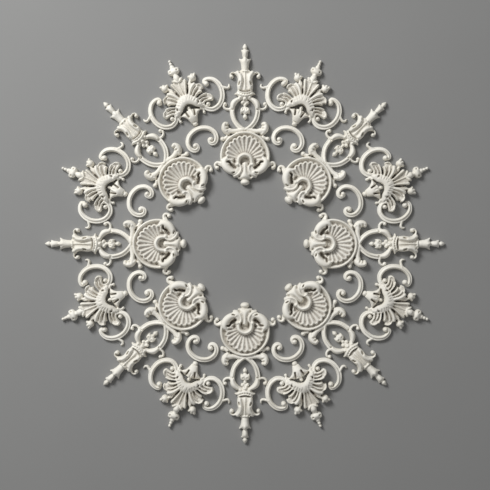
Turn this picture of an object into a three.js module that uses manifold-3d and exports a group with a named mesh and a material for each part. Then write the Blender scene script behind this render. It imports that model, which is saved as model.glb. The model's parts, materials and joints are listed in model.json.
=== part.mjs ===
// A ceiling rose: a ring of plaster castings round an open centre.
// It lies face up. The flat backs lie on z = 0 and the carving rises towards +Z.
// Each casting is drawn with its axis along +Y, then turned to its place in the ring.
// A station is [u, v, half width, height]: u across the axis, v the distance from the rose's centre.

import * as THREE from 'three';
import { mergeVertices } from 'three/addons/utils/BufferGeometryUtils.js';
import Module from 'manifold-3d';

// The ring, in millimetres
const REPEATS = 8;
const TIP_RADIUS = 500;
const PLASTER_COLOUR = 0xe9e6dc;
const JOIN_TOLERANCE = 0.4;

// The shell medallion
const MEDALLION_CENTRE = 221;
const MEDALLION_RADIUS = 63;
const MEDALLION_FOOT = 166;
const RIM_SIDES = 16;
const RIM_INSET = 3.5;
const RIM_HEIGHT = 22;
const LEAF_INSET = 8;
const LEAF_HEIGHT = 26;
const DISH_RADIUS = 51;
const DISH_HEIGHT = 11;
const SHELL_RADIUS = 48;
const FLUTE_COUNT = 11;
const FLUTE_ANGLE = THREE.MathUtils.degToRad(14.2);
const SHELL_FLOOR_RADIUS = 22;
const SHELL_FLOOR_HEIGHT = 13;
const FLUTE_EDGE_HEIGHT = 19;
const RIB_EDGE_HEIGHT = 25;
const HUB_CENTRE = 210;
const HUB_RADIUS = 17;
const HUB_HEIGHT = 30;
const HUB_STEPS = 6;
const HUB_FOOT_HALF = 14;
const HUB_FOOT_DROP = 13;
const VOLUTE_BASE = 8;
const LOWER_STEPS = 4;

// Axial profiles: [v, half width, height]
const SPIRE = [
  [359, 5, 9], [370, 24, 20], [380, 15, 20], [390, 20, 26], [404, 16, 24], [419, 22, 26], [431, 8.5, 16],
  [459, 15.5, 20], [461.5, 4, 10], [481, 11, 16], [483, 4, 8], [490, 6.2, 13], [TIP_RADIUS, 1, 5],
];
const BEAD_DROP = [
  [361, 5, 9], [352.5, 9.5, 14], [345, 4, 9], [336, 10.5, 15], [324, 3.5, 8], [317, 5.5, 12], [310, 1, 4],
];
const STEM_AND_DROP = [
  [203, 3.5, 20], [185, 5, 28], [163.5, 17.5, 24], [160.5, 9, 18], [155, 11.5, 22], [146.5, 3.5, 8],
];
const FINIAL = [
  [447, 6, 15], [453, 6.5, 15], [456, 3.5, 9], [466.5, 14.5, 16], [476, 3.8, 10], [494, 2, 5],
];
const BELLFLOWER = [
  [362, 23, 18], [346, 15, 23], [329, 4, 13], [324.5, 5.5, 13], [319, 2, 5],
];

// Carved bands on the left side of a casting
const LYRE = [[-12, 363, 4, 11], [-27, 351.5, 6, 17], [-31.5, 332, 6.2, 15], [-26, 307, 6, 14]];
const LYRE_FOOT = [0, 287, 6, 16];
const LYRE_TENDRIL = [[-33, 339, 3, 11], [-46, 335.5, 2.8, 9], [-51, 350, 3.4, 8]];
const VASE_HOOK = [[-19, 422, 4, 16], [-31, 427, 3, 13], [-36, 420, 3.8, 13], [-30.5, 413.5, 2, 7]];
const EAR = [[-23, 278.5, 3, 13], [-40, 280.5, 4.5, 15], [-49, 289, 8.5, 21], [-45, 302.5, 2, 12]];
const VOLUTE = [[-22, 191, 4, 30], [-17, 200.5, 4.5, 31], [-10.5, 190, 4.5, 30], [-18, 175, 4.5, 27]];
const LINK = [[-58, 201, 4, 14], [-72, 202.5, 3.2, 11], [-70, 187, 3.2, 8]];
const PALMETTE_SCROLL = [
  [-60, 406, 5, 12], [-62, 414, 4.5, 11], [-75, 416.5, 3.8, 11], [-89, 405, 5, 12],
  [-93.5, 380, 5.9, 13], [-84, 354, 6.2, 14], [-61, 341, 5.8, 14], [-41.5, 349.5, 5.2, 14],
  [-37.5, 370, 4.5, 15],
];
const SCROLL_TENDRIL = [[-96.5, 385.5, 3.6, 9], [-106, 380.5, 2.8, 8], [-114, 387, 2.8, 7]];
const ROSEBUD = [[-32.5, 415, 3.5, 12], [-36.5, 436, 11, 15], [-37.5, 444, 7, 6]];
const FREE_SCROLL = [
  [-19, 273.5, 5, 11], [-17.5, 265.5, 4.5, 12], [-26, 262, 5, 12], [-36, 273, 5.2, 13],
  [-32, 293.5, 5.4, 14], [-18, 305.5, 5.6, 14],
];
const FREE_SCROLL_CROWN = [0, 309.5, 5.6, 14];

// The palmette fan round its hub, right half: [degrees from the axis, radius, rim height, rib height]
const PALMETTE_HUB = 388;
const PALMETTE_HUB_HEIGHT = 34;
const PALMETTE_RIB_SHARE = 0.55;
const PALMETTE_TIP = [0, 63, 14, 27];
const PALMETTE_ARCH_CROWN = [180, 11.5, 22, 32];
const PALMETTE_SIDE = [
  [14, 57, 12, 20], [25, 50, 13, 27], [36.5, 24, 7, 13],
  [50, 49, 12, 26], [71, 57, 12, 25], [79, 28, 6, 13],
  [88.5, 52, 10, 20], [100.5, 67, 12, 24], [110, 61, 9, 18], [122, 39, 9, 17],
  [137, 40, 14, 24], [143.5, 33, 14, 26], [147, 18, 20, 30],
];

const wasm = await Module();
wasm.setup();

// A closed geometry as a solid that can be joined to others
function solidOf(geometry) {
  geometry.deleteAttribute('normal');
  geometry.deleteAttribute('uv');
  const merged = mergeVertices(geometry);
  return new wasm.Manifold(new wasm.Mesh({
    numProp: 3,
    vertProperties: new Float32Array(merged.attributes.position.array),
    triVerts: new Uint32Array(merged.index.array),
  }));
}

// One casting from its overlapping motifs
function castingOf(solids) {
  const joined = solids.reduce((whole, solid) => whole.add(solid));
  const { vertProperties, triVerts } = joined.asOriginal().simplify(JOIN_TOLERANCE).getMesh();
  const geometry = new THREE.BufferGeometry();
  geometry.setAttribute('position', new THREE.BufferAttribute(new Float32Array(vertProperties), 3));
  geometry.setIndex(new THREE.BufferAttribute(new Uint32Array(triVerts), 1));
  geometry.computeVertexNormals();
  return geometry;
}

function geometryFrom(points, triangles) {
  const geometry = new THREE.BufferGeometry().setFromPoints(points);
  geometry.setIndex(triangles.flat());
  return geometry;
}

function mirrored(stations) {
  return stations.map(([u, ...rest]) => [-u, ...rest]);
}

// A band along a smooth curve: a flat back and one ridge, its height and width changing on the way
function band(stations, base = 0) {
  const route = new THREE.CatmullRomCurve3(stations.map(([u, v]) => new THREE.Vector3(u, v, 0)));
  const last = stations.length - 1;
  const points = [];
  const triangles = [[0, 2, 1]];
  stations.forEach(([u, v, half, height], index) => {
    const along = route.getTangent(index / last).multiplyScalar(half);
    points.push(
      new THREE.Vector3(u + along.y, v - along.x, base),
      new THREE.Vector3(u - along.y, v + along.x, base),
      new THREE.Vector3(u, v, height),
    );
  });
  for (let index = 0; index < last; index += 1) {
    for (let corner = 0; corner < 3; corner += 1) {
      const near = 3 * index + corner;
      const side = 3 * index + (corner + 1) % 3;
      triangles.push([near, side, near + 3], [side, side + 3, near + 3]);
    }
  }
  triangles.push([3 * last, 3 * last + 1, 3 * last + 2]);
  return solidOf(geometryFrom(points, triangles));
}

function bothSides(stations, base = 0) {
  return [band(stations, base), band(mirrored(stations), base)];
}

// One band that crosses the axis and repeats on the other side
function acrossAxis(stations, crossing) {
  return band([...stations, crossing, ...mirrored(stations).reverse()]);
}

// A motif on the axis, turned like a baluster and halved
function axial(profile) {
  return band(profile.map(([v, half, height]) => [0, v, half, height]));
}

// Triangles between two closed loops round the same centre, given by their turning angles
function stitch(inner, outer, innerStart, outerStart) {
  const triangles = [];
  let i = 0;
  let j = 0;
  while (i < inner.length || j < outer.length) {
    const here = innerStart + i % inner.length;
    const there = outerStart + j % outer.length;
    const nextInner = inner[i + 1] ?? inner[0] + 2 * Math.PI;
    const nextOuter = outer[j + 1] ?? outer[0] + 2 * Math.PI;
    if (j >= outer.length || (i < inner.length && nextInner <= nextOuter)) {
      i += 1;
      triangles.push([here, there, innerStart + i % inner.length]);
    } else {
      j += 1;
      triangles.push([here, there, outerStart + j % outer.length]);
    }
  }
  return triangles;
}

// A solid of closed loops round a peak, closed flat under the last loop
function terraced(peak, loops) {
  const centre = new THREE.Vector2(peak.x, peak.y);
  const points = [peak];
  const triangles = [];
  let previous = null;
  for (const loop of loops) {
    const start = points.length;
    const turns = loop.map(({ x, y }) => Math.atan2(y - centre.y, x - centre.x));
    for (let index = 1; index < turns.length; index += 1) {
      while (turns[index] < turns[index - 1]) {
        turns[index] += 2 * Math.PI;
      }
    }
    points.push(...loop);
    if (previous) {
      triangles.push(...stitch(previous.turns, turns, previous.start, start));
    } else {
      loop.forEach((_, index) => triangles.push([0, start + index, start + (index + 1) % loop.length]));
    }
    previous = { turns, start };
  }
  const back = loops.at(-1).map(({ x, y }) => new THREE.Vector2(x, y));
  for (const [a, b, c] of THREE.ShapeUtils.triangulateShape(back, [])) {
    triangles.push([previous.start + a, previous.start + c, previous.start + b]);
  }
  return solidOf(geometryFrom(points, triangles));
}

function ringPoint(angle, radius, centre, height) {
  return new THREE.Vector3(radius * Math.cos(angle), centre + radius * Math.sin(angle), height);
}

// Where a ray from the shell's hub meets the circle of its scalloped edge
function shellEdge(angle, height) {
  const rise = MEDALLION_CENTRE - HUB_CENTRE;
  const along = rise * Math.sin(angle);
  const reach = along + Math.sqrt(SHELL_RADIUS ** 2 - rise ** 2 + along ** 2);
  return ringPoint(angle, reach, HUB_CENTRE, height);
}

// The fluted edge of the shell, closed below by a plain arc in the dish
function shellLoop() {
  const start = Math.PI / 2 - FLUTE_COUNT * FLUTE_ANGLE / 2;
  const fluted = Array.from({ length: 2 * FLUTE_COUNT + 1 }, (_, step) => (
    shellEdge(start + step * FLUTE_ANGLE / 2, step % 2 ? FLUTE_EDGE_HEIGHT : RIB_EDGE_HEIGHT)
  ));
  const lowerAngle = 2 * Math.PI - FLUTE_COUNT * FLUTE_ANGLE;
  for (let step = 1; step < LOWER_STEPS; step += 1) {
    fluted.push(shellEdge(start - lowerAngle * (1 - step / LOWER_STEPS), DISH_HEIGHT));
  }
  return fluted;
}

// A horseshoe round the hub, open towards the stem
function horseshoeLoop(radius, height) {
  const bend = Array.from({ length: HUB_STEPS + 1 }, (_, step) => (
    ringPoint(Math.PI * step / HUB_STEPS, radius, HUB_CENTRE, height)
  ));
  const share = radius / HUB_RADIUS;
  const feet = [-HUB_FOOT_HALF, HUB_FOOT_HALF].map((across) => (
    new THREE.Vector3(across * share, HUB_CENTRE - HUB_FOOT_DROP * share, DISH_HEIGHT)
  ));
  return [...bend, ...feet];
}

// A loop of the rim, which swells into leaves round the lower half and is cut straight at the foot
function rimLoop(insetAt, heightAt) {
  return Array.from({ length: RIM_SIDES }, (_, side) => {
    const angle = 2 * Math.PI * side / RIM_SIDES;
    const lower = Math.max(0, -Math.sin(angle));
    const footReach = lower > 0 ? (MEDALLION_CENTRE - MEDALLION_FOOT) / lower : MEDALLION_RADIUS;
    const reach = Math.min(MEDALLION_RADIUS, footReach) - insetAt(lower);
    return ringPoint(angle, reach, MEDALLION_CENTRE, heightAt(lower));
  });
}

function medallion() {
  const { lerp } = THREE.MathUtils;
  return terraced(new THREE.Vector3(0, HUB_CENTRE, DISH_HEIGHT), [
    horseshoeLoop(HUB_RADIUS, HUB_HEIGHT),
    horseshoeLoop(SHELL_FLOOR_RADIUS, SHELL_FLOOR_HEIGHT),
    shellLoop(),
    rimLoop(() => MEDALLION_RADIUS - DISH_RADIUS, () => DISH_HEIGHT),
    rimLoop(
      (lower) => lerp(RIM_INSET, LEAF_INSET, lower),
      (lower) => lerp(RIM_HEIGHT, LEAF_HEIGHT, lower),
    ),
    rimLoop(() => 0, () => 0),
  ]);
}

// The palmette's fan of leaves, with an arch cut into its foot
function palmetteFan() {
  const right = PALMETTE_SIDE.toReversed();
  const stations = [PALMETTE_ARCH_CROWN, ...right, PALMETTE_TIP, ...mirrored(PALMETTE_SIDE)];
  const turn = (degrees) => Math.PI / 2 - THREE.MathUtils.degToRad(degrees);
  const loop = (share, height) => stations.map((station) => (
    ringPoint(turn(station[0]), station[1] * share, PALMETTE_HUB, height(station))
  ));
  return terraced(new THREE.Vector3(0, PALMETTE_HUB, PALMETTE_HUB_HEIGHT), [
    loop(PALMETTE_RIB_SHARE, (station) => station[3]),
    loop(1, (station) => station[2]),
    loop(1, () => 0),
  ]);
}

function shellMedallion() {
  return castingOf([
    medallion(),
    axial(STEM_AND_DROP),
    axial(BEAD_DROP),
    axial(SPIRE),
    acrossAxis(LYRE, LYRE_FOOT),
    ...bothSides(VOLUTE, VOLUTE_BASE),
    ...[LYRE_TENDRIL, VASE_HOOK, EAR, LINK].flatMap((stations) => bothSides(stations)),
  ]);
}

function palmette() {
  return castingOf([
    palmetteFan(),
    axial(FINIAL),
    axial(BELLFLOWER),
    ...[PALMETTE_SCROLL, SCROLL_TENDRIL, ROSEBUD].flatMap((stations) => bothSides(stations)),
  ]);
}

function freeScroll() {
  return castingOf([acrossAxis(FREE_SCROLL, FREE_SCROLL_CROWN)]);
}

// The ring: every casting is its own mesh, the scrolls and palmettes half a step round from the medallions
function ringOf(name, geometry, offset) {
  return Array.from({ length: REPEATS }, (_, index) => {
    const plaster = new THREE.MeshStandardMaterial({ color: PLASTER_COLOUR, roughness: 0.85, metalness: 0 });
    const casting = new THREE.Mesh(geometry, plaster);
    casting.name = `${name}_${index + 1}`;
    casting.rotation.z = -(index + offset) * 2 * Math.PI / REPEATS;
    return casting;
  });
}

const ceilingRose = new THREE.Group();
ceilingRose.add(
  ...ringOf('shell_medallion', shellMedallion(), 0),
  ...ringOf('palmette', palmette(), 0.5),
  ...ringOf('free_scroll', freeScroll(), 0.5),
);

export default ceilingRose;
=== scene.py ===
"""Looks for a plaster ceiling rose: carved shell medallions, palmettes and scrolls in a ring.

Each casting is carved as heights over a fine grid of its right half, then mirrored into one closed mesh.
A station of a band is [u, v, half width, height] in millimetres, where u runs across the casting's axis
and v is the distance from the rose's centre along it.
"""

import json
import math

import bmesh
import bpy
import numpy as np
from bpy.props import FloatProperty, FloatVectorProperty, IntProperty, PointerProperty
from bpy.types import Operator, Panel, PropertyGroup
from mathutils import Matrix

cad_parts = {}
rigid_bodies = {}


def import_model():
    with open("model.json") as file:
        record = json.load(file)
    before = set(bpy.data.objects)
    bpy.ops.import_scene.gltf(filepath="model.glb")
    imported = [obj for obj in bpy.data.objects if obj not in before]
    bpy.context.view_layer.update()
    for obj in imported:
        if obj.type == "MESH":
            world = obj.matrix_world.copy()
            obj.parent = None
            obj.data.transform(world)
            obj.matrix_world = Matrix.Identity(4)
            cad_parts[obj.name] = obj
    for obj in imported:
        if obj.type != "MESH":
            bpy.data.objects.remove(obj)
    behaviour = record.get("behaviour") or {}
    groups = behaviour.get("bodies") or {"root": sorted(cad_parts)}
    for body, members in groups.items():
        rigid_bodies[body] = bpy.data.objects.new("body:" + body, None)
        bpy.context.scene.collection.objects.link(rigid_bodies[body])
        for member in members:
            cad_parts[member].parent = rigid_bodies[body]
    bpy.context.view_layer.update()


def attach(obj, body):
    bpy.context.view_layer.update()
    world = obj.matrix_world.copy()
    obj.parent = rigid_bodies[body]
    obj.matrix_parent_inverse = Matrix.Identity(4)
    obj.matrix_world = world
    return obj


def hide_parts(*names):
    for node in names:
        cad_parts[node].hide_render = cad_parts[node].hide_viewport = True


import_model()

bl_info = {
    "name": "Plaster ceiling rose",
    "version": (1, 0, 0),
    "blender": (4, 5, 0),
    "location": "View3D > Sidebar > Rose",
    "description": "Builds the carved castings of a plaster ceiling rose and a plain stage for it",
    "category": "Object",
}

MILLIMETRE = 0.001
OUTSIDE = 1000.0

# Castings of each kind round the ring
REPEATS = 8

# The medallion's plate, rim, dish and shell, in millimetres
PLATE_CENTRE = 218.0
PLATE_RADIUS = 60.4
RIM_RADIUS = 58.8
LEAF_TUCK = 4.0
DISH_RADIUS = 49.0
DISH_FLOOR = 9.5
DISH_RISE = 8.0
HUB = 210.0
SHELL_CENTRE = 221.4
SHELL_RADIUS = 47.8
SHELL_FLOOR_RADIUS = 20.0
SHELL_FLOOR = 14.5
SHELL_RISE = 11.5
FLUTE_COUNT = 15
FLUTE_DEGREES = 14.2
FLUTE_DEPTH = 7.0
LIP_FALL = 6.0
BOWL_RADIUS = 15.5

# How deep the shell's edge is scalloped, where its flutes end and where its lip turns down, as shares
SCALLOP_DEPTH = 0.075
FLUTE_END = 0.97
LIP_START = 0.93

# Share of dust and painted shade in the dish, on the shell, in its flutes and between leaf ribs, and of a
# darker tint on the palmette's hood
DISH_DUST_AND_SHADE = 0.12
SHELL_DUST_AND_SHADE = 0.16
FLUTE_DUST_AND_SHADE = 0.5
HOOD_DARKENING = 0.12
LEAF_GROUND_DUST_AND_SHADE = 0.22

# Height of a motif's edge as a share of its full height
EDGE_SHARE = 0.32

# Cells past its outline over which a motif's surface carries on
SKIRT_CELLS = 1.5

# Cells each way, and depth below the surface around in millimetres, that give a place the most painted
# shade and dust
RECESS_CELLS = 4
RECESS_DEPTH = 7.0

# Least share of a cell that the outline cuts off, rounds of easing along it, and angle of a sharp crease
LEAST_CUT = 0.12
OUTLINE_ROUNDS = 2
CREASE_DEGREES = 65

# Depth of the grit and width of the floor's mottle in millimetres, and width of a speck of the dust and
# painted shade in grits
GRIT_DEPTH = 0.12
FLOOR_MOTTLE = 300.0
SPECKLE_GRITS = 6

# The floor lies this far under the flat backs, in millimetres
FLOOR_DROP = 0.2

# The soft light at the upper left, in metres
KEY_PLACE = (-1.75, 2.0, 2.45)
KEY_WIDTH = 1.2


def smooth_path(stations, steps=12):
    """Samples of a smooth curve through the stations, every column taken along."""
    rows = np.asarray(stations, float)
    padded = np.vstack([2 * rows[0] - rows[1], rows, 2 * rows[-1] - rows[-2]])
    t = np.arange(steps)[:, None] / steps
    samples = []
    for before, start, end, after in zip(padded, padded[1:], padded[2:], padded[3:]):
        samples.append(
            start + 0.5 * t * (end - before)
            + t**2 * (before - 2.5 * start + 2 * end - 0.5 * after)
            + t**3 * (1.5 * (start - end) + 0.5 * (after - before))
        )
    return np.vstack(samples + [rows[-1:]])


# A section gives a band's height as a share of its full height, from the place across it: 0 on its line
# and 1 at its edge, with side 1 on the left of the line and -1 on the right


def round_back(share, side):
    """Section of a round bead or band."""
    return EDGE_SHARE + (1 - EDGE_SHARE) * np.sqrt(np.clip(1 - share**2, 0, 1))


def leaf_rib(share, side):
    """Section of a leaf's rib or rolled edge: a rounded crest with sloping sides."""
    return EDGE_SHARE + (1 - EDGE_SHARE) * np.clip(1 - share**2, 0, 1) ** 0.75


def slab(share, side):
    """Section of a flat ground with eased edges under other motifs."""
    return EDGE_SHARE + (1 - EDGE_SHARE) * np.sqrt(np.clip((1.05 - share) / 0.2, 0, 1))


def full_back(share, side):
    """Section of a broad, gently rounded leaf or band with steep edges."""
    return 0.62 + 0.38 * np.sqrt(np.clip(1 - share**2, 0, 1))


def saddle(share, side):
    """Section of a smooth fold that runs out into its neighbours."""
    return 0.8 + 0.2 * np.clip(1 - share**2, 0, 1)


def veined_blade(share, side):
    """Section of a leaf lobe: a flat blade with rolled edges and a fine vein."""
    across = np.clip(share, 0, 1)
    rolled = np.sqrt(np.clip(1 - across**4, 0, 1))
    return EDGE_SHARE + (1 - EDGE_SHARE) * rolled - 0.16 * np.exp(-((across / 0.4) ** 2))


def filleted(share, side):
    """Section of a scroll: a round band with a narrow fillet along its outer, left-hand edge."""
    across = np.clip(share, 0, 1) * side
    body = np.clip(1 - ((across + 0.3) / 0.72) ** 2, 0, 1) ** 0.8
    fillet = 0.62 * np.clip(1 - ((across - 0.76) / 0.34) ** 2, 0, 1) ** 0.8
    groove = np.where(across > 0, 0.44 * np.clip((1 - across) / 0.3, 0, 1), 0)
    return EDGE_SHARE + (1 - EDGE_SHARE) * np.maximum(np.maximum(body, fillet), groove)


def over_axis(stations):
    """Stations that end on the axis, carried on to the mirror of the last one before it."""
    u, *rest = stations[-2]
    return [*stations, [-u, *rest]]


class Relief:
    """A casting's carving: heights and the distance to its outline over a grid of its right half."""

    def __init__(self, half_width, nearest, farthest, cell):
        margin = 2 * cell
        self.cell = cell
        across = np.arange(0, half_width + margin, cell)
        along = np.arange(nearest - margin, farthest + margin, cell)
        self.u, self.v = np.meshgrid(across, along, indexing="ij")
        self.inside = np.full(self.u.shape, -OUTSIDE)
        self.height = np.zeros(self.u.shape)
        self.dust_and_shade = np.zeros(self.u.shape)

    def add(self, inside, height, dust_and_shade=0.0):
        """Joins a motif: the higher surface shows, with its own share of dust and painted shade."""
        shows = (inside > -SKIRT_CELLS * self.cell) & (height > self.height)
        self.height = np.where(shows, height, self.height)
        self.dust_and_shade = np.where(shows, dust_and_shade, self.dust_and_shade)
        self.inside = np.maximum(self.inside, inside)

    def carve(self, share, floor):
        """Lowers the surface towards a floor, fully where share reaches 1."""
        lowered = np.minimum(self.height, floor)
        self.height += (lowered - self.height) * np.clip(share, 0, 1)

    def pierce(self, inside):
        """Cuts an opening right through."""
        self.inside = np.minimum(self.inside, -inside)

    def window(self, start, end, reach):
        """The part of the grid within reach of a straight piece."""
        low = np.minimum(start, end) - reach
        high = np.maximum(start, end) + reach
        rows = np.searchsorted(self.u[:, 0], [low[0], high[0]])
        columns = np.searchsorted(self.v[0], [low[1], high[1]])
        return slice(*rows), slice(*columns)

    def stroke(self, stations, section=round_back, dust_and_shade=0.0):
        """A band along a smooth path."""
        path = smooth_path(stations)
        share = np.full(self.u.shape, OUTSIDE)
        half = np.ones(self.u.shape)
        top = np.zeros(self.u.shape)
        side = np.zeros(self.u.shape)
        for start, end in zip(path, path[1:]):
            part = self.window(start[:2], end[:2], 1.3 * max(start[2], end[2]) + 3 * self.cell)
            across, along = self.u[part] - start[0], self.v[part] - start[1]
            du, dv = end[:2] - start[:2]
            t = np.clip((across * du + along * dv) / (du**2 + dv**2), 0, 1)
            off_u, off_v = across - t * du, along - t * dv
            here = start[2] + t * (end[2] - start[2])
            ratio = np.hypot(off_u, off_v) / here
            nearer = ratio < share[part]
            turn = np.sign(du * off_v - dv * off_u)
            rise = start[3] + t * (end[3] - start[3])
            for field, value in ((share, ratio), (half, here), (top, rise), (side, turn)):
                field[part] = np.where(nearer, value, field[part])
        self.add((1 - share) * half, top * section(share, side), dust_and_shade)

    def turned(self, profile, section=round_back, dust_and_shade=0.0):
        """A motif on the axis, like a halved baluster: stations of v, half width and height."""
        path = smooth_path(profile)
        path = path[np.argsort(path[:, 0])]
        half = np.interp(self.v, path[:, 0], path[:, 1])
        top = np.interp(self.v, path[:, 0], path[:, 2])
        slope = np.clip(np.gradient(half, self.cell, axis=1), -2, 2)
        ends = np.minimum(self.v - path[0, 0], path[-1, 0] - self.v)
        inside = np.minimum((half - self.u) / np.hypot(1, slope), ends)
        self.add(inside, top * section(self.u / half, 1), dust_and_shade)

    def bead(self, u, v, radius, height, squash=1.0):
        """A round or squashed dome with its own edge."""
        share = np.hypot(self.u - u, (self.v - v) / squash) / radius
        self.add((1 - share) * radius, height * round_back(share, 1))

    def slit(self, start, end, half, floor, taper=1.0):
        """A narrow cut between two points, narrowed at its end to a share of its width."""
        du, dv = np.subtract(end, start)
        across, along = self.u - start[0], self.v - start[1]
        t = np.clip((across * du + along * dv) / max(du**2 + dv**2, self.cell**2), 0, 1)
        share = np.hypot(across - t * du, along - t * dv) / (half * (1 + t * (taper - 1)))
        self.carve((1.5 - share) * 1.3, floor)

    def groove(self, path, half, floor):
        """A cut along a row of points."""
        for start, end in zip(path, path[1:]):
            self.slit(start, end, half, floor)

    def drill(self, u, v, radius, floor):
        """A drilled eye."""
        self.slit((u, v), (u, v), radius, floor)

    def softened(self, rounds):
        """Heights after the paint has rounded every edge."""
        height = self.height
        known = (self.inside > -SKIRT_CELLS * self.cell).astype(float)
        for _ in range(rounds):
            total = np.zeros_like(height)
            weight = np.zeros_like(height)
            padded = np.pad(height * known, 1, mode="reflect")
            counted = np.pad(known, 1, mode="reflect")
            for rows, columns in ((0, 1), (2, 1), (1, 0), (1, 2)):
                part = (slice(rows, rows + height.shape[0]), slice(columns, columns + height.shape[1]))
                total += padded[part]
                weight += counted[part]
            mean = np.where(weight > 0, total / np.maximum(weight, 1), height)
            height = np.where(known > 0, 0.5 * (height + mean), height)
        return height


def carve_shell(relief):
    """A hollow scallop: flutes rise from the hub to a scalloped lip."""
    reach = np.hypot(relief.u, relief.v - HUB)
    turn = np.arctan2(relief.u, relief.v - HUB)
    rise = SHELL_CENTRE - HUB
    along = rise * np.cos(turn)
    edge = along + np.sqrt(SHELL_RADIUS**2 - rise**2 + along**2)
    flute = np.degrees(turn) / FLUTE_DEGREES
    from_middle = 2 * np.abs(flute - np.round(flute))
    edge = edge * (1 - SCALLOP_DEPTH * from_middle**2.2)
    share = (reach - SHELL_FLOOR_RADIUS) / (edge - SHELL_FLOOR_RADIUS)
    outward = np.clip(share, 0, 1)
    fan = math.radians(FLUTE_COUNT * FLUTE_DEGREES / 2)
    inside = np.minimum(edge - reach, (fan - turn) * reach)
    hollow = (1 - from_middle) ** 1.15 * np.clip((FLUTE_END - share) / 0.1, 0, 1)
    lip = LIP_FALL * np.clip((share - LIP_START) / (1 - LIP_START), 0, 1.4) ** 2
    flutes = FLUTE_DEPTH * (0.3 + 0.7 * outward) * hollow
    height = SHELL_FLOOR + SHELL_RISE * outward**1.25 - flutes - lip
    # Painted shade mixed with dust, deepest in the flutes' hollows, fading out at the lip
    dust_and_shade = (SHELL_DUST_AND_SHADE + FLUTE_DUST_AND_SHADE * hollow**2) * np.clip((FLUTE_END - share) / 0.05, 0, 1)
    relief.add(np.where(reach > SHELL_FLOOR_RADIUS - 6, inside, -OUTSIDE), height, dust_and_shade)


def carve_medallion(relief):
    """The round plate: a rolled rim, a cove, the shell, a horseshoe and leaves round its foot."""
    reach = np.hypot(relief.u, relief.v - PLATE_CENTRE)
    lower = np.clip((PLATE_CENTRE - LEAF_TUCK - relief.v) / 20, 0, 1)
    cove = DISH_FLOOR + DISH_RISE * np.clip((reach - DISH_RADIUS) / 9, 0, 1) ** 1.6
    # The dish gets its share of dust and painted shade
    relief.add(PLATE_RADIUS - LEAF_TUCK * lower - reach, cove, DISH_DUST_AND_SHADE)
    turns = np.radians(np.linspace(108, 0, 13))
    rim = [
        [RIM_RADIUS * math.sin(turn), PLATE_CENTRE + RIM_RADIUS * math.cos(turn), 3.4, 21]
        for turn in turns
    ]
    relief.stroke(over_axis(rim))
    carve_shell(relief)
    bowl = np.clip(1 - (np.hypot(relief.u, relief.v - HUB + 1) / BOWL_RADIUS) ** 2, 0, 1)
    relief.carve(5 * bowl, 24 - 9 * bowl)
    relief.stroke(over_axis([
        [16, 198.4, 5, 26], [16.4, 207, 5.4, 28], [12.4, 216, 5.8, 29.5], [0, 221.4, 6, 30],
    ]))
    carve_lower_leaves(relief)


def carve_lower_leaves(relief):
    """The foot's leaves: a broad one from the rim, a curled one by the stem, deep pockets between."""
    relief.groove([(26.4, 203), (26.4, 208)], 2.4, 8)
    relief.groove([(23, 190.6), (27.4, 191.8), (35, 197.6), (39.4, 203.4), (44, 203.4)], 2.2, 2)
    relief.stroke([[28.4, 199.8, 1.5, 19], [33, 203.4, 1.8, 20.5], [38.4, 208.6, 2, 22]])
    relief.stroke([[15, 193, 5.4, 21], [15.6, 185, 6.4, 21.5], [21, 179.6, 6.4, 22]], slab, LEAF_GROUND_DUST_AND_SHADE)
    relief.stroke([
        [20, 177.4, 5, 24], [27.6, 178, 6.4, 26.5], [36.6, 181.6, 7.8, 28], [44.8, 188.4, 8.8, 29],
        [50, 197, 9, 29], [50.6, 204.8, 7.4, 28], [46.8, 211, 4.8, 25], [43.6, 214.6, 2.4, 22],
    ], full_back)
    relief.groove([(37.6, 201.4), (40, 204.2), (44.4, 203.8)], 1.5, 3)
    relief.stroke([[47, 195.4, 5, 28], [42.4, 198, 2.8, 26.5], [39.4, 199.8, 1.2, 23]])
    relief.stroke([
        [13.4, 197, 3.4, 27], [10, 190.6, 3.2, 27], [10.2, 183.4, 3.4, 26.5], [13.8, 176.4, 4, 25.5],
        [19.6, 171.4, 4.8, 24], [26, 169, 4.4, 20],
    ])
    relief.bead(18.4, 197, 5.8, 29)
    relief.groove([(25.6, 177.4), (31.4, 175.6)], 1, 11)


def carve_stem(relief):
    """The trumpet-shaped stem that comes out of the bowl, and the drop under it."""
    relief.turned([
        [201.6, 4, 20], [199.4, 5.8, 23.5], [195, 5.2, 25], [189, 4.6, 25.5], [183, 5.2, 26],
        [177, 7.4, 26], [171.6, 10.8, 25.5], [167, 14, 24], [163.6, 16.6, 20], [161.6, 17.6, 14],
        [160, 9, 12],
    ])
    relief.turned([[200, 8, 19], [190, 8, 20], [181, 9, 20], [172, 14, 20]], slab, LEAF_GROUND_DUST_AND_SHADE)
    relief.bead(0, 153.4, 11.3, 22, squash=0.66)
    relief.turned([[158, 7, 14], [162, 9, 16]])


def carve_spire(relief):
    """A bud on two flared cups with notched rims."""
    relief.turned([
        [483, 2.4, 9], [485.5, 4.8, 12], [488.8, 6.1, 14], [493, 5, 12], [496.5, 2.8, 9],
        [499.5, 0.6, 5],
    ])
    relief.turned([
        [461, 3.4, 9], [463.5, 5, 13], [469, 6.6, 16], [474, 7.2, 17.5], [478, 7.8, 17],
        [481, 8.8, 14], [483.2, 9.8, 11], [484.2, 4, 9],
    ])
    relief.turned([
        [429, 8.8, 15], [436, 9, 18], [443, 9.5, 19], [449, 10.3, 20.5], [453.5, 11.4, 21],
        [457, 13, 18], [460, 15, 13], [461.6, 15.4, 11],
    ])
    for u, v, radius in ((9.2, 463.4, 4.2), (5.8, 485.6, 2.2)):
        relief.pierce(radius - np.hypot(relief.u - u, relief.v - v))
    relief.turned([[448, 5, 20], [455, 6.6, 22.5], [461, 5.2, 19], [464.5, 2.4, 12]])
    relief.stroke(over_axis([[10.6, 430.6, 2, 18], [6, 429.2, 2.4, 21], [0, 428.8, 2.5, 22]]))


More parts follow.
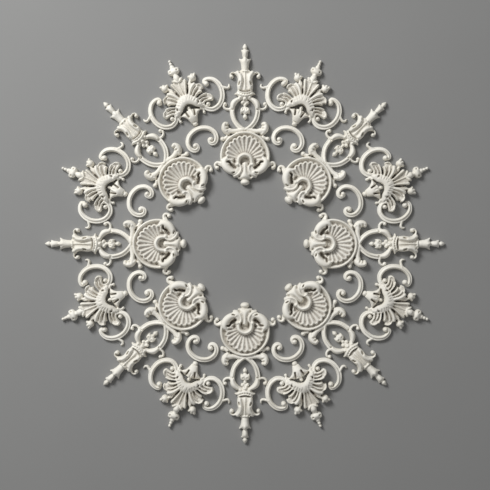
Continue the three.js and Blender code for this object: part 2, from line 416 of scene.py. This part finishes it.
def carve_vase(relief):
    """A calyx with a reeded middle between two leaves, which curl out into handles."""
    relief.turned([
        [379.5, 12, 16], [384, 17, 18], [392, 17.5, 18.5], [402, 15, 18.5], [412, 18, 18.5],
        [420, 20.5, 18], [425.4, 19, 16], [429, 12, 16], [434, 8.6, 15],
    ])
    relief.turned([
        [380, 8.5, 17], [385, 5.6, 21], [392, 3.4, 23.5], [404, 2, 24], [420, 1.8, 23], [434, 2.2, 18],
    ])
    relief.stroke([
        [12.8, 386.6, 6.2, 24], [13, 393.5, 6.9, 27], [11.4, 402.5, 7.2, 28], [10.8, 410.5, 7, 27.5],
        [12.8, 418, 7, 25.5], [15.8, 423, 6.6, 23.5], [18.4, 426, 5.4, 21],
    ])
    relief.stroke([
        [20, 422.4, 3.4, 17], [26, 426, 2.3, 15], [32, 426.2, 2.2, 14.5], [36, 422.8, 2.2, 14],
        [36.6, 418, 2.4, 14],
    ])
    relief.bead(33.6, 416.8, 5, 17)
    relief.slit((15.4, 394.6), (13.4, 401), 1.5, 14)
    relief.slit((8, 431), (13.5, 424.5), 0.9, 11)


def carve_collar(relief):
    """The collar under the vase: a sagging band over a frill of leaf tips."""
    relief.turned([
        [354.5, 3, 12], [358.5, 7.4, 16], [363, 12, 17], [368, 17, 17], [373, 20, 15], [378, 20, 13],
        [381.5, 18, 12],
    ])
    relief.stroke([[15, 374.6, 3.8, 19], [20.6, 374, 2.8, 17], [25, 373.6, 1.2, 12]])
    relief.stroke(over_axis([
        [17.6, 380.6, 1.8, 18], [13, 378, 2.4, 21.5], [7, 375.8, 2.8, 24], [0, 374.8, 3, 24.5],
    ]))
    relief.stroke(over_axis([
        [18.6, 373.4, 3, 19], [12, 371, 4.4, 22], [6, 369.4, 5, 23], [0, 369, 5.2, 23.5],
    ]))
    relief.bead(0, 360.4, 5.4, 23)
    relief.bead(11.6, 364.4, 4.6, 21)
    relief.groove([(6.6, 362), (7.2, 357.6)], 1.1, 9)
    relief.groove([(0, 378.4), (7, 379), (13.4, 381)], 0.8, 8)
    for u, v in ((0, 371.4), (6, 371.8), (11.6, 373.4), (9.6, 367)):
        relief.drill(u, v, 0.9, 13)
    relief.turned([[350, 4.4, 9], [361, 6, 12]])


def carve_lyre(relief):
    """The lyre-shaped loop with leaf sheaths and tendrils, and the bead drop that hangs in it."""
    relief.stroke([
        [28.5, 348, 5.2, 15], [32, 335, 5.9, 16], [31, 322.5, 6, 15.5], [27.2, 309.5, 5.9, 15.5],
        [19.4, 297.5, 5.7, 15.5], [9.4, 288.2, 5.6, 16], [-3, 280, 5.6, 16.5],
    ], filleted)
    relief.stroke([
        [9, 362, 3.6, 15], [19, 359, 5.4, 18], [28, 351, 7.2, 20.5], [31, 340.5, 5.2, 19],
        [28, 331.5, 1.4, 16],
    ])
    relief.stroke([
        [31, 340, 3.6, 13], [40, 335.4, 3, 11.5], [48.5, 336.6, 2.9, 11], [53.2, 342.6, 2.9, 11],
        [51, 348.5, 2.6, 10],
    ])
    relief.bead(49.8, 348.6, 4.6, 13)
    relief.drill(30.5, 334, 1.7, 7)
    relief.bead(6, 352.2, 4.7, 14.5)
    relief.bead(0, 345.4, 4.3, 13)
    relief.drill(0, 357, 1.2, 8)
    relief.bead(5.3, 333.2, 6.2, 16, squash=1.15)
    relief.turned([
        [319, 2.2, 7], [322.5, 2.6, 7], [325, 4.4, 11], [329, 5.4, 13], [334, 4, 12], [343, 3, 10],
    ])
    relief.stroke([[8.4, 331, 3.4, 14], [9.8, 324.8, 1, 9]])
    relief.stroke([[3.8, 329.4, 3, 14], [4, 325.4, 1.2, 10]])
    relief.drill(5.2, 335, 1.6, 8)
    relief.bead(0, 316.8, 5.4, 13)
    relief.turned([[309, 0.7, 4], [312, 2.8, 8], [316, 4, 9]])


def carve_ears(relief):
    """The rolled leaves on the medallion's shoulders, their bars and the shoots below."""
    relief.stroke([
        [4, 285, 4.4, 15], [19, 282, 4.8, 15], [31, 280.4, 5.4, 16], [41, 281.6, 7, 17.5],
    ], full_back)
    relief.stroke([
        [40, 272.4, 2.4, 14], [46, 277.6, 5.6, 18], [51, 285, 7.2, 21], [52.4, 293.4, 6, 22],
        [50.4, 299.6, 4, 21], [46.6, 301.2, 2.8, 19],
    ])
    for u, v in ((44.4, 297.6), (42.2, 290.6), (40.6, 283.4)):
        relief.stroke([[u + 6, v - 2, 4.4, 21], [u + 2, v - 0.4, 3.4, 19], [u, v + 0.8, 1.4, 16]])
    relief.bead(50.2, 298.6, 4.2, 23)
    relief.bead(45, 298.4, 4.4, 20)
    relief.slit((46.4, 293.4), (43, 294), 0.9, 10)
    relief.slit((45, 286.6), (41, 287.2), 0.9, 10)
    relief.stroke([[44, 267, 4, 14], [50, 262.6, 4.2, 12.5], [55.6, 261.2, 4, 12]])
    relief.bead(56, 261.2, 5.6, 14)
    relief.stroke([[40, 268, 4, 14], [42, 275, 4, 15]])
    relief.groove([(33.4, 274.2), (42, 268.8)], 1.2, 2)


def carve_links(relief):
    """The hooked tendrils that reach for the next medallion."""
    relief.stroke([
        [54, 196, 4.8, 16], [61, 200.4, 4.4, 14.5], [68.5, 202.6, 3.8, 13], [73.8, 199.4, 3.4, 12],
        [74.2, 193.6, 3.2, 11], [71, 188.6, 3, 10],
    ])
    relief.stroke([[55, 193, 3, 13], [62, 196, 2.6, 12], [67.5, 198.5, 2, 10]])
    relief.bead(69.6, 189.4, 5.2, 14)


def shell_medallion(cell):
    """The medallion casting, from the drop at its foot to the tip of its spire."""
    relief = Relief(80, 144, 501, cell)
    carve_medallion(relief)
    carve_stem(relief)
    carve_spire(relief)
    carve_vase(relief)
    carve_collar(relief)
    carve_lyre(relief)
    carve_ears(relief)
    carve_links(relief)
    return relief


def carve_fan(relief):
    """The palmette's hollow leaves with rolled edges and ribs: one in the middle, three on each side."""
    relief.turned([
        [394, 8, 18], [405, 12, 18], [418, 16, 18], [428, 18, 17.5], [433, 16.5, 17], [438, 11.5, 17],
        [445, 8, 16], [451, 6, 15],
    ], slab, LEAF_GROUND_DUST_AND_SHADE)
    grounds = [
        [[9, 394, 5, 17], [17, 407, 6, 17], [23.4, 417, 5.8, 17], [24.6, 423.4, 3.6, 15]],
        [[17, 391, 6, 17], [27, 399, 9.4, 17], [36, 404, 10.6, 17], [42.6, 404, 9, 16]],
        [[27, 374, 5, 16], [37, 373, 8, 16], [48, 372.6, 8.6, 16], [55.4, 371.4, 7.6, 16]],
    ]
    for ground in grounds:
        relief.stroke(ground, slab, LEAF_GROUND_DUST_AND_SHADE)
    ribs = [
        [[0, 394, 1.7, 27], [0, 412, 1.6, 26], [0, 428, 1.4, 24.5], [0, 441, 1.3, 22]],
        [
            [6, 396, 2.4, 27.5], [9.4, 409, 2.5, 28], [13.4, 421, 2.9, 27.5], [16.4, 430, 3.4, 26.5],
            [17.4, 434, 3.4, 25],
        ],
        [[18.6, 389, 2, 27], [25.6, 397.6, 2.3, 27.5], [32.6, 403, 2.2, 26.5], [40, 406.4, 1.8, 23.5]],
        [[23.6, 384, 2.5, 27], [31.6, 389.4, 2.8, 28], [38, 392, 3, 27], [43.6, 392.6, 3.2, 24]],
        [[39.6, 411.4, 2, 22.5], [46, 410.4, 2.3, 24.5], [50.6, 405.6, 2.5, 24.5], [51.6, 399.8, 2.2, 21]],
        [[27.6, 378.6, 2.6, 26], [37, 381, 3, 26.5], [46, 382.4, 3.1, 26], [53.6, 382.2, 3.1, 23]],
        [[31.4, 370.6, 1.8, 24.5], [40.6, 374.4, 2, 25.5], [50, 373.4, 1.7, 22.5]],
        [[57, 379.6, 2.2, 22], [61.8, 375.4, 3, 24.5], [64.2, 369, 3, 23.5], [61.4, 364.6, 2.8, 20]],
        [[37.6, 363.6, 2, 22], [45, 366.6, 2.2, 23], [54, 365.8, 2.2, 22], [61, 364.4, 2.4, 20]],
    ]
    for rib in ribs:
        relief.stroke(rib, leaf_rib)
    relief.stroke([
        [14.4, 395, 3.6, 27], [21, 404.6, 4.4, 27], [28, 411.6, 4.6, 26.5], [34, 415.2, 4.4, 24],
    ], full_back)
    relief.stroke([[3, 434, 3, 23], [8.6, 438.6, 3.4, 25], [12, 442, 2.6, 22]])
    relief.turned([[434, 3, 22], [442, 7, 25], [448, 7.4, 24], [451, 6, 20], [453, 4, 15]], full_back)
    carve_arch(relief)
    relief.groove([(11.4, 402), (15, 410.4)], 1.5, 5)
    relief.groove([(15, 410.4), (19, 419)], 1.2, 10)
    relief.groove([(22, 388), (28, 394), (34, 397.6), (40, 401.4)], 1, 13)
    relief.groove([(30.4, 382.6), (37, 385.2), (45, 388.2), (52, 390)], 1.8, 3)
    relief.groove([(32, 375), (38, 377), (46, 377), (52, 375.6)], 0.8, 11)
    relief.groove([(36, 367.6), (42, 370.4), (48, 370.4), (54, 369.8)], 0.8, 11)
    relief.groove([(28, 372.8), (28, 369.4)], 1.1, 11)


def carve_arch(relief):
    """A broad hood over the opening, which runs out into the leaves' ribs."""
    relief.stroke(over_axis([
        [32, 359.4, 4.4, 21], [28.4, 364, 6.6, 24], [22.4, 371, 9.2, 27.5], [12.6, 380, 11.4, 30],
        [0, 385, 12.6, 31.5],
    ]), saddle, HOOD_DARKENING)
    for u, v in ((21, 381), (22.6, 371.6), (31, 363.2)):
        relief.bead(u, v, 3.4, 28.5 - 0.3 * (u - 21))
    furrows = [
        ((5.6, 397), (4.6, 384), 27.5), ((11.4, 399), (9, 388), 26), ((15.6, 391.4), (12, 384), 25.5),
        ((20.4, 386.6), (15.4, 379.6), 25), ((27, 380.4), (19.4, 375.6), 23.5),
        ((28, 369.4), (24.4, 366), 21),
    ]
    for start, end, floor in furrows:
        relief.slit(start, end, 1.1, floor, taper=0.6)


def carve_finial(relief):
    """The bud over the fan with two drilled eyes, and the row of small beads on it."""
    relief.turned([[470, 5, 13], [476, 3, 11], [480, 2, 9], [488, 1.8, 8], [494, 0.8, 5]])
    for v, radius in ((475.6, 6), (484, 4.3), (491.4, 3.8)):
        relief.bead(0, v, radius, 13)
    relief.turned([
        [455.4, 6, 14], [457.4, 10.4, 17], [460.4, 13.4, 20], [464.4, 14.8, 20.5], [468, 14.2, 18],
        [471, 13.6, 14], [472.4, 12, 11],
    ])
    relief.drill(9, 465.4, 1.6, 7)
    relief.bead(0, 453.4, 6.4, 18, squash=0.8)


def carve_rosebuds(relief):
    """A bud on each shoulder of the fan, open at the top into three blunt petals."""
    relief.stroke([[28, 417, 3, 16], [26.6, 422.6, 3, 17], [29.4, 427.6, 3.4, 16]])
    bud_u, bud_v = 37, 432.6
    relief.bead(bud_u, bud_v, 9, 21)
    for tip_u, tip_v, half in ((29.2, 438.4, 3), (38, 441, 3), (45.4, 439.8, 3.2)):
        middle_u, middle_v = 0.4 * bud_u + 0.6 * tip_u, 0.4 * bud_v + 0.6 * tip_v
        relief.stroke([[bud_u, bud_v, 5.4, 20], [middle_u, middle_v, 4.2, 19], [tip_u, tip_v, half, 16]])
    relief.groove([(33.4, 437.4), (32.8, 442)], 0.8, 11)
    relief.groove([(40.6, 436.6), (42.2, 442)], 0.8, 11)


def carve_bellflower(relief):
    """The bellflower under the arch, the dark opening over it and the pearl in the opening."""
    relief.turned([
        [326.6, 7.6, 16], [332, 9.8, 20], [338, 12, 24], [343, 14.4, 25.5], [348, 19, 25],
        [352, 24.6, 22], [354.8, 27.8, 18], [356.6, 24, 17], [359, 17, 17], [362, 9, 17],
    ], full_back)
    opening = np.minimum(0.8 * (375 - 0.038 * relief.u**2 - relief.v), relief.v - 359.6)
    relief.pierce(opening)
    relief.groove([(12, 361.4), (18, 358.6), (24, 355.4), (33, 352.8)], 1.2, 4)
    relief.stroke([
        [0, 342, 5.6, 25], [0, 349, 6.6, 27], [0, 355, 5.8, 26], [0, 359.6, 2.6, 22],
    ], veined_blade)
    relief.groove([(11.6, 358.6), (9.6, 350), (8, 343.8)], 1.4, 5)
    relief.bead(0, 322.8, 6.7, 16, squash=0.7)
    relief.groove([(0, 327.2), (6.4, 327.2)], 0.6, 9)
    relief.turned([[355, 3, 9], [361, 2.4, 7], [364, 2.4, 7]])
    relief.bead(0, 365.6, 4.6, 21)
    relief.stroke([[28, 354, 3, 16], [32, 350.6, 2.8, 14], [32.6, 345, 2.6, 12]])
    relief.bead(31.8, 342, 3.8, 13)


def carve_side_scrolls(relief):
    """The C-scroll beside the fan with a bead in each end, and the tendril on its back."""
    relief.stroke([
        [58.8, 411, 3.4, 11], [62, 416, 4.2, 12], [72, 415.8, 4.6, 13], [84, 408.5, 5.2, 13.5],
        [92, 393, 5.8, 14], [93, 376, 6, 14.5], [87, 358.5, 6, 15], [74.5, 345.5, 5.9, 15],
        [58, 340.8, 5.7, 15], [45, 345.5, 5.4, 15], [38.6, 353.4, 4.6, 17], [38.4, 361.4, 3.4, 19],
        [41.4, 366, 2, 20],
    ], filleted)
    relief.bead(63.5, 405.6, 6.5, 17)
    relief.bead(48.4, 356.8, 5.6, 20)
    relief.stroke([
        [96, 384.5, 3.6, 11], [102.5, 379.6, 3.2, 10.5], [108.5, 376, 3, 10], [113.5, 378, 2.6, 9],
        [115, 383, 1.6, 7],
    ])


def palmette(cell):
    """The palmette casting, from its bellflower to the beads on its finial."""
    relief = Relief(117, 317, 496, cell)
    carve_finial(relief)
    carve_fan(relief)
    carve_rosebuds(relief)
    carve_bellflower(relief)
    carve_side_scrolls(relief)
    return relief


def free_scroll(cell):
    """The small C-scroll casting that stands alone."""
    relief = Relief(44, 255, 317, cell)
    band = over_axis([
        [19.2, 277, 2.4, 12], [16, 274.4, 2.9, 12.5], [15.2, 268.8, 3.4, 12.5], [17.6, 263.8, 4.2, 12.5],
        [24, 261.8, 4.8, 13], [31.2, 265.2, 5.2, 13.5], [36.2, 274.4, 5.3, 14], [35.6, 287, 5.5, 14],
        [27, 300, 5.6, 14.5], [13.5, 307.4, 5.7, 15], [0, 309.6, 5.7, 15],
    ])
    relief.stroke(band[::-1], filleted)
    relief.bead(21.2, 273.2, 5.6, 16)
    return relief


def both_halves(field):
    """A field of the right half with its mirror image on the left."""
    return np.concatenate([field[:0:-1], field])


def blurred(field, reach):
    """A box blur over reach cells each way, twice."""
    width = 2 * reach + 1
    for axis in (0, 1, 0, 1):
        pad = [(reach + 1, reach) if side == axis else (0, 0) for side in (0, 1)]
        sums = np.cumsum(np.pad(field, pad, mode="edge"), axis=axis)
        high = np.take(sums, range(width, sums.shape[axis]), axis=axis)
        low = np.take(sums, range(sums.shape[axis] - width), axis=axis)
        field = (high - low) / width
    return field


class Outline:
    """Corners on a casting's outline, found where grid lines cross it."""

    def __init__(self, inside, columns, start):
        solid = inside > 0
        self.ids = []
        self.columns = []
        for axis in (0, 1):
            near = [slice(None), slice(None)]
            far = [slice(None), slice(None)]
            near[axis] = slice(None, -1)
            far[axis] = slice(1, None)
            near, far = tuple(near), tuple(far)
            crossed = solid[near] != solid[far]
            share = inside[near][crossed] / (inside[near][crossed] - inside[far][crossed])
            share = np.clip(share, LEAST_CUT, 1 - LEAST_CUT)[:, None]
            ids = np.full(crossed.shape, -1)
            ids[crossed] = start + np.arange(crossed.sum())
            start += int(crossed.sum())
            self.ids.append(ids)
            self.columns.append(columns[near][crossed] * (1 - share) + columns[far][crossed] * share)


def eased_outline(points, edges):
    """Outline corners eased towards their neighbours along the outline."""
    after = np.zeros(len(points), int)
    before = np.zeros(len(points), int)
    for start, end in edges:
        after[start] = end
        before[end] = start
    for _ in range(OUTLINE_ROUNDS):
        points = 0.5 * points + 0.25 * (points[after] + points[before])
    return points


def surface_columns(relief, rounds):
    """Across, along, height and the recess share of painted shade and dust over the grid of the whole
    casting.
    """
    height = relief.softened(rounds)
    # Painted shade: the deeper a place lies below the blurred surface around it, the darker it gets, on top
    # of each motif's own share of dust and shade
    around = blurred(np.where(relief.inside > 0, height, 0), RECESS_CELLS)
    recess = np.clip((around - height) / RECESS_DEPTH, 0, 1)
    recess = np.clip(blurred(recess, 1) + relief.dust_and_shade, 0, 1)
    across = both_halves(relief.u)
    across[: len(relief.u) - 1] *= -1
    fields = [across, both_halves(relief.v), both_halves(height), both_halves(recess)]
    return np.stack(fields, axis=-1)


def runs_out(quad, crossings, corner):
    """Whether the border of a cell's solid part runs out over the outline at this crossing."""
    return quad[list(crossings).index(corner)] >= 0


def surface_faces(solid, outline, first):
    """Faces of the carved surface, and the edges of its outline, whose corners count from first."""
    ids = np.full(solid.shape, -1)
    ids[solid] = np.arange(first)
    quads = np.stack([ids[:-1, :-1], ids[1:, :-1], ids[1:, 1:], ids[:-1, 1:]], axis=-1)
    whole = (quads >= 0).all(axis=-1)
    cut = (quads >= 0).any(axis=-1) & ~whole
    faces = quads[whole].tolist()
    edges = []
    for i, j in np.argwhere(cut):
        crossings = (
            outline.ids[0][i, j], outline.ids[1][i + 1, j], outline.ids[0][i, j + 1], outline.ids[1][i, j],
        )
        face = []
        for pair in zip(quads[i, j], crossings):
            face += [int(corner) for corner in pair if corner >= 0]
        faces.append(face)
        for start, end in zip(face, face[1:] + face[:1]):
            if min(start, end) >= first and runs_out(quads[i, j], crossings, start):
                edges.append((start - first, end - first))
    return faces, edges


def casting_mesh(name, relief, rounds):
    """A closed mesh of a carving: the relief, walls down from its outline and a flat back."""
    columns = surface_columns(relief, rounds)
    inside = both_halves(relief.inside)
    solid = inside > 0
    first = int(solid.sum())
    outline = Outline(inside, columns, first)
    faces, edges = surface_faces(solid, outline, first)
    border = eased_outline(np.vstack(outline.columns), edges)
    back = border * [1, 1, 0, 1]
    last = first + len(border)
    faces += [[first + b, first + a, last + a, last + b] for a, b in edges]
    points = np.vstack([columns[solid], border, back])
    mesh = bpy.data.meshes.new(name)
    mesh.from_pydata((points[:, :3] * MILLIMETRE).tolist(), [], faces)
    close_back(mesh)
    # The recess share holds the painted shade and dust of each corner
    shade = mesh.attributes.new("recess", "FLOAT", "POINT")
    shade.data.foreach_set("value", points[:, 3].astype(np.float32))
    mesh.shade_smooth()
    mesh.set_sharp_from_angle(angle=math.radians(CREASE_DEGREES))
    return mesh


def close_back(mesh):
    """Fills the open back flat and turns every face outwards."""
    work = bmesh.new()
    work.from_mesh(mesh)
    rim = [edge for edge in work.edges if edge.is_boundary]
    bmesh.ops.triangle_fill(work, use_beauty=True, edges=rim, normal=(0, 0, -1))
    bmesh.ops.recalc_face_normals(work, faces=work.faces)
    work.to_mesh(mesh)
    work.free()


def linear(colour):
    """A #rrggbb screen colour as linear red, green and blue."""
    parts = [int(colour[i : i + 2], 16) / 255 for i in (1, 3, 5)]
    return tuple(p / 12.92 if p <= 0.04045 else ((p + 0.055) / 1.055) ** 2.4 for p in parts)


def add_node(tree, kind, inputs=(), **settings):
    """A node with its settings, its inputs set or linked."""
    node = tree.nodes.new(kind)
    for name, value in settings.items():
        setattr(node, name, value)
    for name, value in dict(inputs).items():
        if isinstance(value, bpy.types.NodeSocket):
            tree.links.new(value, node.inputs[name])
        else:
            node.inputs[name].default_value = value
    return node


def new_material(name):
    """An empty material and its node tree."""
    material = bpy.data.materials.new(name)
    material.use_nodes = True
    material.node_tree.nodes.clear()
    return material, material.node_tree


def per_metre(size):
    """Scale of a pattern whose marks are about size millimetres across."""
    return 1 / (size * MILLIMETRE)


def distemper_with_dust_and_shade(tree, looks, place):
    """Ivory distemper with greyer clouds, and dust with painted shade where the carving is deep."""
    noise = add_node(tree, "ShaderNodeTexNoise", {
        "Vector": place, "Scale": per_metre(looks.cloud_size), "Detail": 3,
    })
    clouds = add_node(tree, "ShaderNodeMapRange", {
        "Value": noise.outputs[0], "From Min": 0.35, "From Max": 0.65,
    })
    coat = add_node(tree, "ShaderNodeMix", {
        0: clouds.outputs[0], 6: (*looks.plaster_colour, 1), 7: (*looks.cloud_colour, 1),
    }, data_type="RGBA")
    # The recess share paints shade and dust in warm grey-brown into the deep carving
    recess = add_node(tree, "ShaderNodeAttribute", attribute_name="recess")
    speckle = add_node(tree, "ShaderNodeTexNoise", {
        "Vector": place, "Scale": per_metre(looks.grit_size * SPECKLE_GRITS), "Detail": 4,
    })
    dust_and_shade_share = add_node(tree, "ShaderNodeMath", {
        0: recess.outputs["Fac"], 1: speckle.outputs[0],
    }, operation="MULTIPLY")
    cover = add_node(tree, "ShaderNodeMapRange", {
        "Value": dust_and_shade_share.outputs[0], "From Min": 0.02, "From Max": 0.5, "To Max": looks.dust_and_shade_cover,
    })
    dusted_and_shaded = add_node(tree, "ShaderNodeMix", {
        0: cover.outputs[0], 6: coat.outputs[2], 7: (*looks.dust_and_shade_colour, 1),
    }, data_type="RGBA")
    return dusted_and_shaded.outputs[2]


def distempered_plaster(looks):
    """Cast gypsum under brushed ivory distemper: matt, softly clouded and faintly gritty."""
    material, tree = new_material("distempered_cast_plaster")
    place = add_node(tree, "ShaderNodeNewGeometry").outputs["Position"]
    # The grit is drawn coarser than the real one, so that it shows
    grit = add_node(tree, "ShaderNodeTexNoise", {
        "Vector": place, "Scale": per_metre(looks.grit_size), "Detail": 5,
    })
    bump = add_node(tree, "ShaderNodeBump", {
        "Strength": 0.35, "Distance": GRIT_DEPTH * MILLIMETRE, "Height": grit.outputs[0],
    })
    rough = add_node(tree, "ShaderNodeMapRange", {
        "Value": grit.outputs[0], "From Min": 0.3, "From Max": 0.7, "To Min": 0.62, "To Max": 0.8,
    })
    shader = add_node(tree, "ShaderNodeBsdfPrincipled", {
        "Base Color": distemper_with_dust_and_shade(tree, looks, place),
        "Roughness": rough.outputs[0],
        "Specular IOR Level": 0.35,
        "Normal": bump.outputs[0],
    })
    add_node(tree, "ShaderNodeOutputMaterial", {"Surface": shader.outputs[0]})
    return material


def floor_paint(looks):
    """Matt floor paint, rolled on: an even pale grey with a faint mottle."""
    material, tree = new_material("matt_floor_paint")
    place = add_node(tree, "ShaderNodeNewGeometry").outputs["Position"]
    mottle = add_node(tree, "ShaderNodeTexNoise", {
        "Vector": place, "Scale": per_metre(FLOOR_MOTTLE), "Detail": 3,
    })
    darker = [0.94 * part for part in looks.floor_colour]
    colour = add_node(tree, "ShaderNodeMix", {
        0: mottle.outputs[0], 6: (*looks.floor_colour, 1), 7: (*darker, 1),
    }, data_type="RGBA")
    shader = add_node(tree, "ShaderNodeBsdfPrincipled", {"Base Color": colour.outputs[2], "Roughness": 0.9})
    add_node(tree, "ShaderNodeOutputMaterial", {"Surface": shader.outputs[0]})
    return material


def place_ring(kind, mesh, material, offset):
    """A ring of castings that share a mesh, each in place of its plain solid."""
    mesh.materials.append(material)
    for index in range(REPEATS):
        casting = bpy.data.objects.new(f"carved_{kind}_{index + 1}", mesh)
        casting.rotation_euler.z = -(index + offset) * 2 * math.pi / REPEATS
        bpy.context.scene.collection.objects.link(casting)
        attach(casting, "root")
        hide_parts(f"{kind}_{index + 1}")


def plaster(looks):
    """The one plaster material that every casting shares."""
    return bpy.data.materials.get("distempered_cast_plaster") or distempered_plaster(looks)


def add_floor(looks):
    """A plain floor under the flat backs."""
    mesh = bpy.data.meshes.new("floor")
    half = looks.floor_width / 2
    corners = [(-half, -half), (half, -half), (half, half), (-half, half)]
    mesh.from_pydata([(x, y, -FLOOR_DROP * MILLIMETRE) for x, y in corners], [], [(0, 1, 2, 3)])
    mesh.materials.append(floor_paint(looks))
    floor = bpy.data.objects.new("floor", mesh)
    bpy.context.scene.collection.objects.link(floor)


def add_light(name, place, width, power):
    """A square soft light that faces the rose."""
    light = bpy.data.lights.new(name, "AREA")
    light.size = width
    light.energy = power
    lamp = bpy.data.objects.new(name, light)
    lamp.location = place
    lamp.rotation_euler = lamp.location.to_track_quat("Z", "Y").to_euler()
    bpy.context.scene.collection.objects.link(lamp)


def add_sky(strength):
    """Even white light from all round."""
    world = bpy.data.worlds.new("studio")
    world.use_nodes = True
    background = world.node_tree.nodes["Background"]
    background.inputs["Color"].default_value = (1, 1, 1, 1)
    background.inputs["Strength"].default_value = strength
    bpy.context.scene.world = world


def add_camera(looks):
    """A camera straight over the rose, far enough away to take in the frame's width."""
    lens = bpy.data.cameras.new("camera")
    lens.lens = looks.lens_length
    lens.sensor_width = looks.sensor_width
    camera = bpy.data.objects.new("camera", lens)
    distance = looks.frame_width * looks.lens_length / looks.sensor_width
    camera.location = (0, -looks.aim_drop, distance)
    bpy.context.scene.collection.objects.link(camera)
    bpy.context.scene.camera = camera
    bpy.context.scene.view_settings.view_transform = "Standard"


class RoseLooks(PropertyGroup):
    """Sizes, colours and lights of the rose and its stage."""

    relief_cell: FloatProperty(
        name="Relief cell", description="Width of a grid cell of the carving, in millimetres",
        default=0.92, min=0.5, max=3,
    )
    paint_rounds: IntProperty(
        name="Paint rounds", description="How often the coat of paint rounds the carved edges",
        default=4, min=0, max=8,
    )
    plaster_colour: FloatVectorProperty(
        name="Plaster", description="Ivory distemper", subtype="COLOR", size=3, default=linear("#f0ede4"),
    )
    cloud_colour: FloatVectorProperty(
        name="Clouds", description="Thinner, greyer patches of the distemper", subtype="COLOR", size=3,
        default=linear("#e6e2d7"),
    )
    # This colour paints the shade in deep places as well as their dust
    dust_and_shade_colour: FloatVectorProperty(
        name="Dust", description="Warm dust in the deep carving", subtype="COLOR", size=3,
        default=linear("#6e6153"),
    )
    dust_and_shade_cover: FloatProperty(
        name="Dust cover", description="Share of the dust colour in the deepest places", subtype="FACTOR",
        default=0.85, min=0, max=1,
    )
    cloud_size: FloatProperty(
        name="Cloud size", description="Width of the clouds in millimetres", default=45, min=5,
    )
    grit_size: FloatProperty(
        name="Grit size", description="Width of the grit in millimetres", default=0.9, min=0.2,
    )
    floor_colour: FloatVectorProperty(
        name="Floor", description="Pale grey floor paint", subtype="COLOR", size=3,
        default=linear("#8c8c8b"),
    )
    floor_width: FloatProperty(
        name="Floor width", description="Side of the square floor", subtype="DISTANCE",
        unit="LENGTH", default=60,
    )
    frame_width: FloatProperty(
        name="Frame width", description="Width of the floor that the camera takes in",
        subtype="DISTANCE", unit="LENGTH", default=1.225,
    )
    aim_drop: FloatProperty(
        name="Aim drop", description="How far below the rose's centre the camera points",
        subtype="DISTANCE", unit="LENGTH", default=0.0031,
    )
    lens_length: FloatProperty(name="Lens", description="Focal length in millimetres", default=85, min=10)
    sensor_width: FloatProperty(name="Sensor", description="Sensor width in millimetres", default=36, min=5)
    key_power: FloatProperty(
        name="Key light", description="Power of the soft light at the upper left", unit="POWER",
        default=118, min=0,
    )
    sky_strength: FloatProperty(
        name="Sky", description="Strength of the even light all round", default=0.27, min=0,
    )


class ROSE_OT_shell_medallions(Operator):
    """Carve the shell medallions with their spires"""

    bl_idname = "rose.shell_medallions"
    bl_label = "Shell medallions"

    def execute(self, context):
        looks = context.scene.rose_looks
        relief = shell_medallion(looks.relief_cell)
        mesh = casting_mesh("shell_medallion_carving", relief, looks.paint_rounds)
        place_ring("shell_medallion", mesh, plaster(looks), 0)
        return {"FINISHED"}


class ROSE_OT_palmettes(Operator):
    """Carve the palmettes with their scrolls"""

    bl_idname = "rose.palmettes"
    bl_label = "Palmettes"

    def execute(self, context):
        looks = context.scene.rose_looks
        relief = palmette(looks.relief_cell)
        mesh = casting_mesh("palmette_carving", relief, looks.paint_rounds)
        place_ring("palmette", mesh, plaster(looks), 0.5)
        return {"FINISHED"}


class ROSE_OT_free_scrolls(Operator):
    """Carve the free scrolls between the medallions"""

    bl_idname = "rose.free_scrolls"
    bl_label = "Free scrolls"

    def execute(self, context):
        looks = context.scene.rose_looks
        relief = free_scroll(looks.relief_cell)
        mesh = casting_mesh("free_scroll_carving", relief, looks.paint_rounds)
        place_ring("free_scroll", mesh, plaster(looks), 0.5)
        return {"FINISHED"}


class ROSE_OT_stage(Operator):
    """Set up the floor, the lights and the camera"""

    bl_idname = "rose.stage"
    bl_label = "Stage"

    def execute(self, context):
        looks = context.scene.rose_looks
        add_floor(looks)
        add_light("key_light", KEY_PLACE, KEY_WIDTH, looks.key_power)
        add_sky(looks.sky_strength)
        add_camera(looks)
        return {"FINISHED"}


class ROSE_PT_panel(Panel):
    """The rose's pieces and looks"""

    bl_idname = "ROSE_PT_panel"
    bl_label = "Ceiling rose"
    bl_space_type = "VIEW_3D"
    bl_region_type = "UI"
    bl_category = "Rose"

    def draw(self, context):
        for operator in OPERATORS:
            self.layout.operator(operator.bl_idname)
        for name in RoseLooks.__annotations__:
            self.layout.prop(context.scene.rose_looks, name)


OPERATORS = (ROSE_OT_shell_medallions, ROSE_OT_palmettes, ROSE_OT_free_scrolls, ROSE_OT_stage)
CLASSES = (RoseLooks, *OPERATORS, ROSE_PT_panel)


def register():
    for part in CLASSES:
        bpy.utils.register_class(part)
    bpy.types.Scene.rose_looks = PointerProperty(type=RoseLooks)


def unregister():
    del bpy.types.Scene.rose_looks
    for part in reversed(CLASSES):
        bpy.utils.unregister_class(part)


def main():
    register()
    bpy.ops.rose.shell_medallions()
    bpy.ops.rose.palmettes()
    bpy.ops.rose.free_scrolls()
    bpy.ops.rose.stage()


if __name__ == "__main__":
    main()
